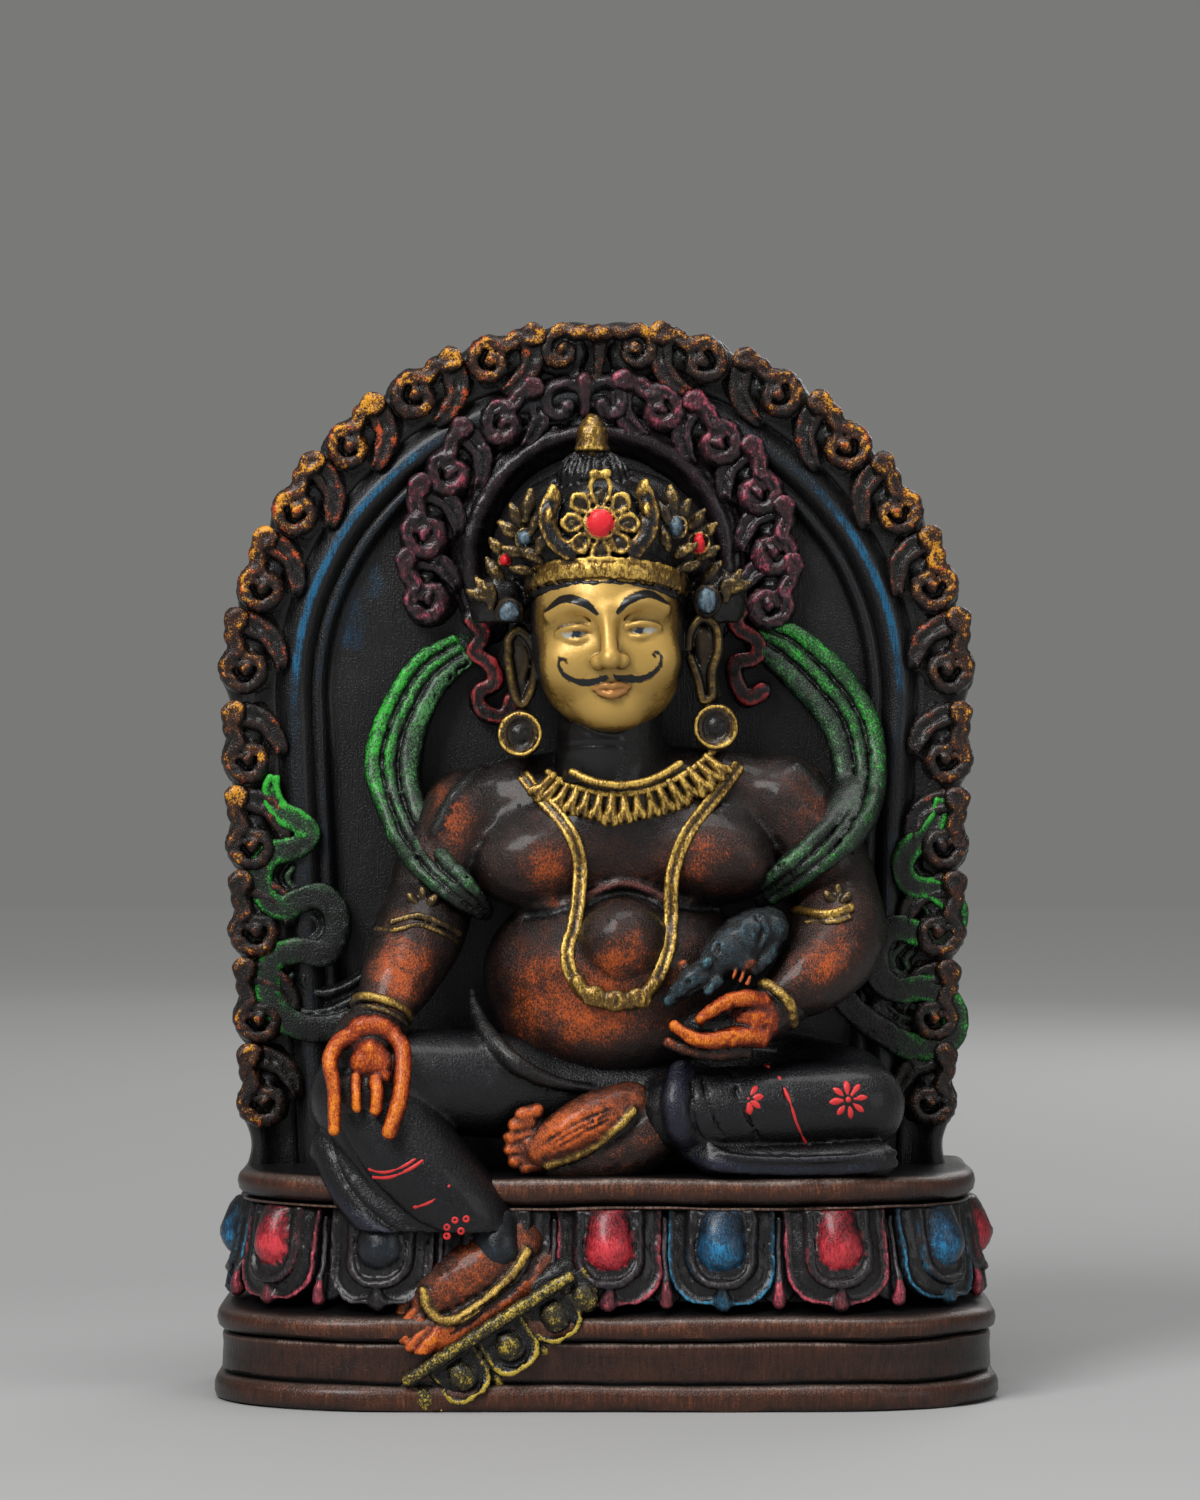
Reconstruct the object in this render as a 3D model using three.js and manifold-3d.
// A cast statuette of Jambhala, a seated figure of plenty, against an arched back plate on a lotus base.
// It is one casting, so every form below is joined into one closed solid.
// Millimetres, +Z up, +X to the viewer's right, -Y towards the viewer, origin under the middle of the statue.
import * as THREE from "three";
import { mergeVertices } from "three/addons/utils/BufferGeometryUtils.js";
import Module from "manifold-3d";

const wasm = await Module();
wasm.setup();

// Driving sizes
const BACK_Y = 32; // the flat back
const FRONT_Y = -32; // the foremost point, the front of the foot's small lotus
const BASE_HALF = 76.2; // half the width of the foot moulding
const BASE_FRONT = -26; // front of the foot moulding
const CORNER_X = 35; // the base's front corners are quarter ellipses
const CORNER_Y = 26;
const SEAT_TOP = 44;
const FIELD_Y = 15; // face of the back plate's plain field
const ARCH_X = -1.8; // middle of the arch
const ARCH_Z = 135.7; // where the arch springs
const RIM_R = 74.3; // to the edge of the plate, round the scrolls
const HALO_X = -0.5;
const HALO_Z = 163.1;
const HALO_R = 23.6;
const WAIST_X = 2; // the figure's middle line

// Levels of the base: lowest point, highest point, how far its plan is set in, and its round edge
const BASE_LEVELS = [
  [0, 5.2, 0, 1.5],
  [4, 13.8, 1.8, 0],
  [13, 18.6, 0.8, 1.4],
  [17, 39, 9.4, 0],
  [37.6, SEAT_TOP, 4.4, 2.2],
];

const v3 = (x, y, z) => new THREE.Vector3(x, y, z);

// A closed three.js geometry as a solid.
function solid(geometry) {
  const plain = new THREE.BufferGeometry();
  const source = geometry.index ? geometry.toNonIndexed() : geometry;
  plain.setAttribute("position", source.getAttribute("position"));
  const merged = mergeVertices(plain, 1e-4);
  return new wasm.Manifold(
    new wasm.Mesh({
      numProp: 3,
      vertProperties: merged.attributes.position.array,
      triVerts: new Uint32Array(merged.index.array),
    }),
  );
}

const union = (parts) => parts.reduce((whole, part) => whole.add(part));

// An ellipsoid, with lean as its turn about the Y axis in degrees.
function ball([x, y, z], [rx, ry, rz], lean = 0, around = 8, down = 5) {
  const geometry = new THREE.SphereGeometry(1, around, down);
  geometry.rotateX(Math.PI / 2);
  geometry.scale(rx, ry, rz);
  geometry.rotateY(THREE.MathUtils.degToRad(lean));
  geometry.translate(x, y, z);
  return solid(geometry);
}

// A round limb with blunt ends along a smooth line of points, each with its radius.
function limb(points, steps = 4, sides = 7) {
  const path = new THREE.CatmullRomCurve3(points.map(([p]) => v3(...p)));
  const frames = path.computeFrenetFrames(steps, false);
  const radiusAt = (u) => {
    const at = Math.min(u * (points.length - 1), points.length - 1.001);
    const i = Math.floor(at);
    return THREE.MathUtils.lerp(points[i][1], points[i + 1][1], at - i);
  };
  const rings = [];
  for (let k = -1; k <= steps + 1; k++) {
    const inside = THREE.MathUtils.clamp(k, 0, steps);
    const u = inside / steps;
    const radius = radiusAt(u);
    rings.push({
      at: path.getPoint(u).addScaledVector(frames.tangents[inside], (k - inside) * 0.75 * radius),
      radius: k === inside ? radius : 0.62 * radius,
      normal: frames.normals[inside],
      binormal: frames.binormals[inside],
    });
  }
  const geometry = new THREE.CylinderGeometry(1, 1, 1, sides, steps + 2);
  const place = geometry.getAttribute("position");
  for (let i = 0; i < place.count; i++) {
    const { at, radius, normal, binormal } = rings[Math.round((place.getY(i) + 0.5) * (steps + 2))];
    const out = at
      .clone()
      .addScaledVector(normal, place.getX(i) * radius)
      .addScaledVector(binormal, -place.getZ(i) * radius);
    place.setXYZ(i, out.x, out.y, out.z);
  }
  return solid(geometry);
}

// A closed outline in the X-Z plane as a slab from depth y towards the viewer.
function slab(outline, y, thickness) {
  const geometry = new THREE.ExtrudeGeometry(new THREE.Shape(outline), {
    depth: thickness,
    bevelEnabled: false,
    curveSegments: 6,
  });
  geometry.rotateX(Math.PI / 2);
  geometry.translate(0, y, 0);
  return solid(geometry);
}

// A tapering brush stroke along a smooth line of [x, z] points, with its half width at both ends.
function stroke(points, steps, half1, half2, y, thickness) {
  const line = new THREE.SplineCurve(points.map(([x, z]) => new THREE.Vector2(x, z)));
  const near = [];
  const far = [];
  for (let i = 0; i <= steps; i++) {
    const t = i / steps;
    const at = line.getPoint(t);
    const along = line.getTangent(t);
    const half = half1 + (half2 - half1) * t;
    near.push(new THREE.Vector2(at.x - along.y * half, at.y + along.x * half));
    far.unshift(new THREE.Vector2(at.x + along.y * half, at.y - along.x * half));
  }
  return slab([...near, ...far], y, thickness);
}

// A tube along a smooth line, with an oval section: half its depth and half its width.
function tube(points, steps, halfDepth, halfWidth, sides = 8) {
  const section = [];
  for (let i = 0; i < sides; i++) {
    const angle = (2 * Math.PI * i) / sides;
    section.push(new THREE.Vector2(halfDepth * Math.cos(angle), halfWidth * Math.sin(angle)));
  }
  const path = new THREE.CatmullRomCurve3(points.map((p) => v3(...p)));
  return solid(
    new THREE.ExtrudeGeometry(new THREE.Shape(section), {
      steps,
      extrudePath: path,
      bevelEnabled: false,
    }),
  );
}

// A ring whose axis is given.
function ring(centre, axis, radius, thick, around = 8, sides = 4) {
  const geometry = new THREE.TorusGeometry(radius, thick, sides, around);
  const turn = new THREE.Quaternion().setFromUnitVectors(v3(0, 0, 1), v3(...axis).normalize());
  geometry.applyQuaternion(turn);
  geometry.translate(...centre);
  return solid(geometry);
}

// A short cuff round a limb, along the given axis.
function cuff(centre, axis, radius, tall, sides = 7) {
  const geometry = new THREE.CylinderGeometry(radius, radius, tall, sides);
  const turn = new THREE.Quaternion().setFromUnitVectors(v3(0, 1, 0), v3(...axis).normalize());
  geometry.applyQuaternion(turn);
  geometry.translate(...centre);
  return solid(geometry);
}

// The base's plan, set in by inset: straight sides, elliptical front corners, run past the back.
function basePlan(inset, cornerSteps = 4) {
  const half = BASE_HALF - inset;
  const front = BASE_FRONT + inset;
  const points = [new THREE.Vector2(-half, BACK_Y + 8)];
  for (const side of [-1, 1]) {
    for (let i = 0; i <= cornerSteps; i++) {
      const share = side < 0 ? i / cornerSteps : 1 - i / cornerSteps;
      const angle = (share * Math.PI) / 2;
      points.push(
        new THREE.Vector2(
          side * (half - CORNER_X + CORNER_X * Math.cos(angle)),
          front + CORNER_Y - CORNER_Y * Math.sin(angle),
        ),
      );
    }
  }
  points.push(new THREE.Vector2(half, BACK_Y + 8));
  return points;
}

// One moulding of the base with a rounded edge.
function moulding([low, high, inset, round]) {
  const geometry = new THREE.ExtrudeGeometry(new THREE.Shape(basePlan(inset)), {
    depth: high - low - 2 * round,
    bevelEnabled: round > 0,
    bevelThickness: round,
    bevelSize: round,
    bevelOffset: -round,
    bevelSegments: 1,
  });
  geometry.translate(0, 0, low + round);
  return solid(geometry);
}

// A point on the base's plan and the way out of it, at a distance along its edge from the front's middle.
function alongEdge(distance, inset) {
  const side = Math.sign(distance) || 1;
  let left = Math.abs(distance);
  const outline = basePlan(inset, 24).filter((p) => p.x * side >= 0);
  if (side < 0) outline.reverse();
  let from = new THREE.Vector2(0, BASE_FRONT + inset);
  for (const to of outline) {
    const step = from.distanceTo(to);
    if (step > left) {
      const way = to.clone().sub(from).normalize();
      return {
        at: from.clone().addScaledVector(way, left),
        out: Math.atan2(-way.x * side, way.y * side),
      };
    }
    left -= step;
    from = to;
  }
  throw new Error("past the end of the base's edge");
}

// Downturned petals round the base, each a broad leaf with a raised boss.
const PETAL_PITCH = 21.3;
const PETAL_TURNS = [-4, -3, -2, -1, 0, 1, 2, 3, 4];

function petal(distance, halfWidth, low, high, thick, inset, flare) {
  const outline = [
    [-halfWidth * 0.8, high],
    [-halfWidth, low + 8],
    [-halfWidth * 0.7, low + 2.4],
    [0, low],
    [halfWidth * 0.7, low + 2.4],
    [halfWidth, low + 8],
    [halfWidth * 0.8, high],
  ].map(([x, z]) => new THREE.Vector2(x, z - high));
  const geometry = new THREE.ExtrudeGeometry(new THREE.Shape(outline), {
    depth: thick,
    bevelEnabled: false,
  });
  geometry.translate(0, 0, -thick / 2);
  geometry.rotateX(Math.PI / 2 - THREE.MathUtils.degToRad(flare));
  const { at, out } = alongEdge(distance, inset);
  geometry.rotateZ(out + Math.PI / 2);
  geometry.translate(at.x, at.y, high);
  return solid(geometry);
}

function boss(distance, radii, z, inset) {
  const { at, out } = alongEdge(distance, inset);
  const geometry = new THREE.SphereGeometry(1, 6, 4);
  geometry.rotateX(Math.PI / 2);
  geometry.scale(...radii);
  geometry.rotateZ(out + Math.PI / 2);
  geometry.translate(at.x, at.y, z);
  return solid(geometry);
}

function lotusBase() {
  const parts = BASE_LEVELS.map(moulding);
  for (const turn of PETAL_TURNS) {
    parts.push(petal(turn * PETAL_PITCH, 9.2, 19.4, 38.5, 5, 7.9, 10));
    parts.push(boss(turn * PETAL_PITCH, [5, 3.6, 7], 30.4, 4.9));
  }
  return union(parts);
}

// The plate's outline: sides that draw in a little downwards, and a round head.
function archOutline(radius, footHalf, foot, steps = 14) {
  const points = [new THREE.Vector2(ARCH_X - footHalf, foot)];
  for (let i = 0; i <= steps; i++) {
    const angle = Math.PI * (1 - i / steps);
    points.push(
      new THREE.Vector2(ARCH_X + radius * Math.cos(angle), ARCH_Z + radius * Math.sin(angle)),
    );
  }
  points.push(new THREE.Vector2(ARCH_X + footHalf, foot));
  return points;
}

// The plate's edge swells at each scroll of the rim and draws in between them.
function scallopedOutline() {
  const rad = THREE.MathUtils.degToRad;
  const half = [[RIM_R - SIDE_DRAW - 1.4, SEAT_TOP - 4]];
  for (const drop of [...RIM_SIDE].reverse()) {
    const draw = (drop * SIDE_DRAW) / 92;
    half.push([RIM_R - draw - 1.4, ARCH_Z - drop - 8.4]);
    half.push([RIM_R - draw, ARCH_Z - drop]);
  }
  for (let i = 0; i < RIM_ROUND; i++) {
    const at = RIM_FIRST + RIM_STEP * i;
    for (const [turn, reach] of [
      [-6.6, RIM_R - 1.2],
      [0, RIM_R],
    ]) {
      half.push([reach * Math.cos(rad(at + turn)), ARCH_Z + reach * Math.sin(rad(at + turn))]);
    }
  }
  half.push([RIM_R * Math.sin(rad(7)), ARCH_Z + RIM_R * Math.cos(rad(7)) + 0.2]);
  const right = half.map(([x, z]) => new THREE.Vector2(ARCH_X + x, z));
  const left = half.map(([x, z]) => new THREE.Vector2(ARCH_X - x, z)).reverse();
  return [...right, ...left];
}

// A raised band that follows the plate's outline between two radii.
function archBand(outer, inner, y, thickness) {
  const foot = SEAT_TOP - 2;
  const outside = archOutline(outer, outer - SIDE_DRAW, foot);
  const inside = archOutline(inner, inner - SIDE_DRAW, foot).reverse();
  return slab([...outside, ...inside], y, thickness);
}

// The scroll that repeats along the rim, in the way of the rim (t) and outwards (r): a band that
// leaves a bud at the outer edge, follows the edge, rounds its foot and curls into an eye, with a
// leaf that runs inwards above it.
const SCROLL = [
  [10.6, 4],
  [6.5, 3.4],
  [0.6, 5.6],
  [-5, 3],
  [-4.6, -3.6],
  [1.6, -5.2],
  [2.4, -0.2],
  [-1, -0.6],
  [0.6, 2.4],
  [6, 0],
  [5.6, -7.6],
];

// Carries scroll points to a place on an arch: its middle, its radius, its angle and its side.
function onArch(points, [cx, cz], radius, angle, side, size) {
  const out = [Math.cos(angle) * side, Math.sin(angle)];
  const along = [-Math.sin(angle) * side, Math.cos(angle)];
  return points.map(([t, r]) => [
    cx + out[0] * (radius + r * size) + along[0] * t * size,
    cz + out[1] * (radius + r * size) + along[1] * t * size,
  ]);
}

// One scroll, standing proud by the given height.
function scroll(centre, radius, angle, side, size, height) {
  const outline = onArch(SCROLL, centre, radius, angle, side, size);
  return slab(outline.map(([x, z]) => new THREE.Vector2(x, z)), FIELD_Y + 1, height);
}

const RIM_EYE_R = 68.2;
const RIM_FIRST = 4.5; // degrees above the arch's springing
const RIM_STEP = 13.6;
const RIM_ROUND = 6; // scrolls a side on the round head
const RIM_SIDE = [12, 29, 46, 63, 79.6]; // how far the scrolls of a straight side lie below it
const SIDE_DRAW = 4.4; // how far each side draws in down to the seat

function rimScrolls() {
  const parts = [];
  const rad = THREE.MathUtils.degToRad;
  for (const side of [-1, 1]) {
    for (let i = 0; i < RIM_ROUND; i++) {
      const angle = rad(RIM_FIRST + RIM_STEP * i);
      parts.push(scroll([ARCH_X, ARCH_Z], RIM_EYE_R, angle, side, 1, 7.6));
    }
    for (const drop of RIM_SIDE) {
      const middle = [ARCH_X - (side * drop * SIDE_DRAW) / 92, ARCH_Z - drop];
      parts.push(scroll(middle, RIM_EYE_R, rad(-2), side, 1, 7.6));
    }
    parts.push(ball([ARCH_X + side * 5.6, 14, ARCH_Z + 67.4], [3.4, 6, 3.6], 0, 6, 4));
  }
  parts.push(ball([ARCH_X, 14, ARCH_Z + 70.6], [3, 7, 3], 0, 6, 4));
  return union(parts);
}

const HALO_EYE_R = 33.6;
const HALO_SIZE = 0.72;
const HALO_SCROLLS = [
  [-1, [53, 30, 8, -14]],
  [1, [65, 43, 22, 2, -18]],
];

function haloArch() {
  const parts = [];
  const line = [];
  for (let i = 0; i <= 8; i++) {
    const angle = Math.PI * (1.1 - (1.2 * i) / 8);
    line.push([HALO_X + HALO_R * Math.cos(angle), FIELD_Y - 2, HALO_Z + HALO_R * Math.sin(angle)]);
  }
  parts.push(tube(line, 14, 3.4, 2.8, 6));
  for (const [side, angles] of HALO_SCROLLS) {
    for (const angle of angles) {
      const turn = THREE.MathUtils.degToRad(angle);
      parts.push(scroll([HALO_X, HALO_Z], HALO_EYE_R, turn, side, HALO_SIZE, 6.6));
    }
  }
  parts.push(ball([HALO_X - 3.8, 14, HALO_Z + 33.4], [6.4, 6.4, 3.2], 0, 6, 4));
  return union(parts);
}

function backPlate() {
  const plate = slab(scallopedOutline(), BACK_Y, BACK_Y - FIELD_Y);
  return union([
    plate,
    archBand(60.6, 55.6, FIELD_Y + 1, 3.6),
    rimScrolls(),
    haloArch(),
  ]);
}

// Trunk: a broad chest over a round belly with a raised navel.
function trunk() {
  return union([
    ball([WAIST_X, 6, 84], [27.8, 23.8, 21], 0, 11, 7),
    ball([WAIST_X, -8, 88], [9.8, 11, 9.6], 0, 8, 6),
    ball([WAIST_X + 1, 5, 105], [29, 17, 17.4], 0, 9, 6),
    ball([-12, -3.4, 106.5], [10, 9.4, 9], 20),
    ball([21, -3.4, 107], [10, 9.4, 9], -20),
    limb([[[WAIST_X, 3, 110], 15], [[WAIST_X, 1, 120], 10.4], [[1, -1, 132], 9.2]], 3, 8),
    ball([WAIST_X + 1, 5, 112], [37, 11, 8.4], -2, 9, 5),
    ball([WAIST_X - 2, 9, 67], [34, 20, 12]),
  ]);
}

const HEAD_LEAN = -4;

function head() {
  const parts = [
    ball([0.4, -3, 147], [14.4, 14.8, 18.6], HEAD_LEAN, 10, 7),
    ball([1, -8, 136.4], [12.6, 11.6, 10.6], 0, 8, 6),
    ball([1.2, -19.2, 142.8], [2.2, 3.6, 4.6], 0, 5, 4),
    ball([-1.6, 3, 166], [15.4, 12.4, 12.8], 0, 8, 6),
    ball([-2.4, 4, 179.4], [6.6, 6, 4.8], 0, 6, 4),
    limb([[[-2.8, 3, 182], 3.6], [[-2.8, 2.6, 187], 1.6]], 1, 6),
    cuff([-0.2, -3.4, 159.6], [0.05, 0.04, 1], 16.4, 3.8, 10),
  ];
  for (const [x, lobe] of [
    [-17, 128.4],
    [20.4, 130.6],
  ]) {
    const away = Math.sign(x);
    parts.push(ball([x, 4, 141], [4.6, 11, 9.4], 0, 6, 4));
    parts.push(ball([x + 3 * away, 2, 155.4], [4.6, 12, 4.8], 0, 6, 4));
    parts.push(ring([x, -4.4, lobe], [0.15 * away, -1, 0.1], 3.4, 1.9, 7, 3));
    parts.push(cuff([x, 5.6, lobe + 0.6], [0, 1, 0], 3.6, 19, 5));
  }
  return union([...parts, crown()]);
}

// The crown's leaves stand round the front of the head, and the middle one is a flower with a stone.
function crown() {
  const lobes = 8;
  const flower = [];
  for (let i = 0; i < 2 * lobes; i++) {
    const angle = (Math.PI * i) / lobes + Math.PI / 2;
    const radius = i % 2 ? 8.8 : 6;
    flower.push(new THREE.Vector2(radius * Math.cos(angle), 168.6 + radius * Math.sin(angle)));
  }
  const parts = [slab(flower, -8, 7.6), ball([0, -16, 168.6], [3.6, 2.4, 3.6], 0, 6, 4)];
  for (const side of [-1, 1]) {
    for (const [x, y, z, half, tall] of [
      [10.6, -6, 168, 2, 7.6],
      [15, -2, 167, 2.8, 6.4],
      [18.4, 3, 164.6, 2.6, 5.6],
    ]) {
      const leaf = [
        [-half, -tall],
        [half, -tall],
        [half * 1.1, tall * 0.4],
        [0, tall],
        [-half * 1.1, tall * 0.4],
      ].map(([dx, dz]) => new THREE.Vector2(side * x + dx, z + dz));
      parts.push(slab(leaf, y, 7));
    }
  }
  return union(parts);
}

// Collar, and the long necklace that frames the navel.
function jewellery() {
  const collar = [];
  const steps = 8;
  for (let i = 0; i <= steps; i++) {
    const angle = Math.PI * (1.08 + (0.84 * i) / steps);
    collar.push([WAIST_X + 20.6 * Math.cos(angle), -7.4 + 4 * Math.cos(2 * angle), 121 + 9.4 * Math.sin(angle)]);
  }
  const necklace = [
    [-16, -5, 119],
    [-9.6, -9, 112],
    [-5.6, -13.4, 104],
    [-6, -14.4, 97],
    [-7.2, -17, 88],
    [-4, -17.6, 80.6],
    [2, -18.4, 77.6],
    [8.6, -17.6, 80.6],
    [11.4, -17, 88],
    [12.8, -14.4, 97],
    [13.4, -13.4, 105],
    [18, -9, 113],
    [23.6, -5, 120],
  ];
  return union([tube(collar, 8, 2.2, 3, 4), tube(necklace, 14, 1.9, 1.9, 4)]);
}

// One arm rests on the knee with its open hand turned out, and the other holds the mongoose.
function arms() {
  const hanging = [
    limb(
      [
        [[-26.6, 5, 110.6], 10],
        [[-34, 3, 97], 9],
        [[-38.6, -7, 86], 8.8],
        [[-43.4, -17, 75.4], 5.2],
      ],
      6,
    ),
    ball([-45.4, -20.4, 66.5], [8.4, 5.6, 8.8], 0, 7, 5),
    cuff([-43, -16.6, 76.2], [-0.42, -0.62, -0.66], 6.6, 2.4),
    cuff([-34.6, 2.4, 94.4], [-0.4, -0.3, -0.9], 10, 2.6),
  ];
  const holding = [
    limb(
      [
        [[33.6, 5, 112.4], 10.4],
        [[42.6, 3, 98], 9.2],
        [[42.6, -5, 85], 9],
        [[33.4, -11, 77.6], 5.6],
      ],
      6,
    ),
    ball([25, -15, 73.4], [7.8, 5.4, 5.4], -20, 7, 5),
    cuff([33, -11.4, 77], [-0.9, -0.4, -0.5], 6.6, 2.4),
    cuff([43.2, 3, 95], [0.3, -0.1, -1], 10, 2.6),
  ];
  const fingers = [
    [[-50.6, -22, 70], [-53, -26, 61], [-51.6, -27, 55.6]],
    [[-47, -23.6, 65], [-46.8, -27.2, 57.4]],
    [[-43.6, -23.6, 65], [-43.4, -27.2, 57.4]],
    [[-39.4, -22, 70], [-38.4, -26.4, 60], [-41.6, -27.6, 53.6]],
    [[24, -17, 71], [13.6, -18.6, 72.2]],
    [[24, -17, 76], [14.6, -19, 75.6]],
  ].map((finger) => limb(finger.map((at) => [at, 1.9]), finger.length - 1, 5));
  return union([...hanging, ...holding, ...fingers]);
}

function mongoose() {
  return limb(
    [
      [[12.8, -18, 76.8], 1.4],
      [[17.6, -18, 80.8], 3],
      [[24.4, -16, 86.6], 5.4],
      [[31.4, -12.4, 89.8], 5.6],
    ],
    5,
    6,
  );
}

// Legs: one hangs to the small lotus, the other lies folded on the seat. Trousers end in a hem.
function legs() {
  return union([
    limb([[[-12, 2, 62], 13.8], [[-43, -13, 60], 12.2]], 1, 9),
    limb([[[-43, -15.4, 58.6], 12.2], [[-33, -18.8, 47.4], 11.4], [[-23.6, -19.8, 37.6], 10]], 3, 9),
    cuff([-22.6, -20, 36.4], [-0.66, 0.1, 0.72], 10.8, 3.2, 9),
    limb([[[45.4, -8, 56.2], 10.4], [[15.6, -11.6, 54.6], 9.6]], 1, 8),
    cuff([14.6, -11.6, 54.4], [-1, -0.1, 0], 10.6, 3, 9),
    stroke([[11, 47.4], [20, 45.6], [40, 45.2], [57, 45.4]], 4, 1.7, 1, 0, 18),
  ]);
}

function feet() {
  const parts = [
    limb([[[9, -11, 54.6], 6.2], [[-2, -14, 50.6], 5.6], [[-13.6, -15, 48], 4.6]], 3),
    limb([[[-20, -22, 33], 7.6], [[-26.4, -23.8, 24], 6.6], [[-34.6, -25, 16], 4.6]], 3),
  ];
  for (let i = 0; i < 4; i++) {
    const across = -28.1 + 2.5 * i;
    parts.push(limb([[[-33, across + 2, 17], 1.8], [[-39 + 0.8 * i, across, 14.6 - 0.6 * i], 1.5]], 1, 5));
  }
  return union(parts);
}

// The small lotus under the hanging foot, tilted with it: two rows of petals on a short stem.
const LOTUS_LOBES = 7;

function lotusRow(halfX, halfY, low, high) {
  const outline = [];
  for (let i = 0; i < 2 * LOTUS_LOBES; i++) {
    const angle = (Math.PI * i) / LOTUS_LOBES;
    const reach = i % 2 ? 1 : 0.9;
    outline.push(
      new THREE.Vector2(halfX * reach * Math.cos(angle), halfY * reach * Math.sin(angle)),
    );
  }
  const geometry = new THREE.ExtrudeGeometry(new THREE.Shape(outline), {
    depth: high - low,
    bevelEnabled: false,
  });
  geometry.translate(0, 0, low);
  geometry.rotateY(THREE.MathUtils.degToRad(-25));
  geometry.translate(-21.8, -20, 16);
  return solid(geometry);
}

function footLotus() {
  return union([
    lotusRow(17.6, -FRONT_Y - 19.7, -1.6, 1.6),
    lotusRow(16.4, -FRONT_Y - 20.4, -6.4, -2.8),
    cuff([-20, -18, 12], [0.42, 0, 0.9], 9, 12, 8),
  ]);
}

// Scarves arch from behind the head to the elbows, and their ends run in waves up the plate.
const SCARVES = [
  [
    [-25.5, 9, 146],
    [-34.6, 7, 140.6],
    [-40.6, 5, 130.2],
    [-41.4, 4, 118.5],
    [-37.9, 2, 107.8],
    [-31.1, 0, 99],
    [-25, -1, 95.4],
  ],
  [
    [28.6, 9, 149.6],
    [39.4, 7, 145.6],
    [47.2, 5, 135.4],
    [49.6, 4, 123.4],
    [47, 2, 112.6],
    [40.4, 0, 104],
    [34.4, -1, 100.2],
  ],
];
const RIBBONS = [
  [
    [-65.5, 120],
    [-66.4, 115.2],
    [-61.6, 111.4],
    [-59.2, 107.4],
    [-65.2, 103],
    [-66.2, 97.6],
    [-60.4, 95],
    [-55.6, 91.6],
    [-58.4, 86.4],
    [-64.8, 83.2],
    [-65.4, 77.6],
    [-59.6, 73],
    [-51.6, 73],
    [-43, 78],
  ],
  [
    [65.3, 117],
    [63.6, 111.4],
    [58.7, 107.6],
    [60.8, 101.2],
    [66.6, 97.4],
    [65.6, 92],
    [58.7, 91.6],
    [54, 88.6],
    [55.4, 82],
    [62, 80.4],
    [66.6, 76.4],
    [63.8, 69.4],
    [56, 68.4],
    [46, 76],
  ],
];

function scarves() {
  const ribbons = RIBBONS.map((points) => points.map(([x, z]) => [x, FIELD_Y, z]));
  return union([
    ...SCARVES.map((points) => tube(points, 8, 3.8, 5.6, 6)),
    ...ribbons.map((points) => tube(points, 23, 8.6, 3.6, 4)),
  ]);
}

// The whole casting, cut flat at the back.
const behind = new THREE.BoxGeometry(200, 60, 300);
behind.translate(0, BACK_Y + 30, 150);
const casting = union([
  backPlate(),
  lotusBase(),
  trunk(),
  head(),
  jewellery(),
  arms(),
  mongoose(),
  legs(),
  feet(),
  footLotus(),
  scarves(),
]).subtract(solid(behind));

const { vertProperties, triVerts } = casting.getMesh();
const geometry = new THREE.BufferGeometry();
geometry.setAttribute("position", new THREE.BufferAttribute(vertProperties, 3));
geometry.setIndex(new THREE.BufferAttribute(triVerts, 1));
geometry.computeVertexNormals();

const paintedResin = new THREE.MeshStandardMaterial({
  name: "painted_resin",
  color: new THREE.Color(0.09, 0.06, 0.05),
  roughness: 0.5,
  metalness: 0,
});
const statue = new THREE.Mesh(geometry, paintedResin);
statue.name = "jambhala_statue";

const part = new THREE.Group();
part.add(statue);

export default part;
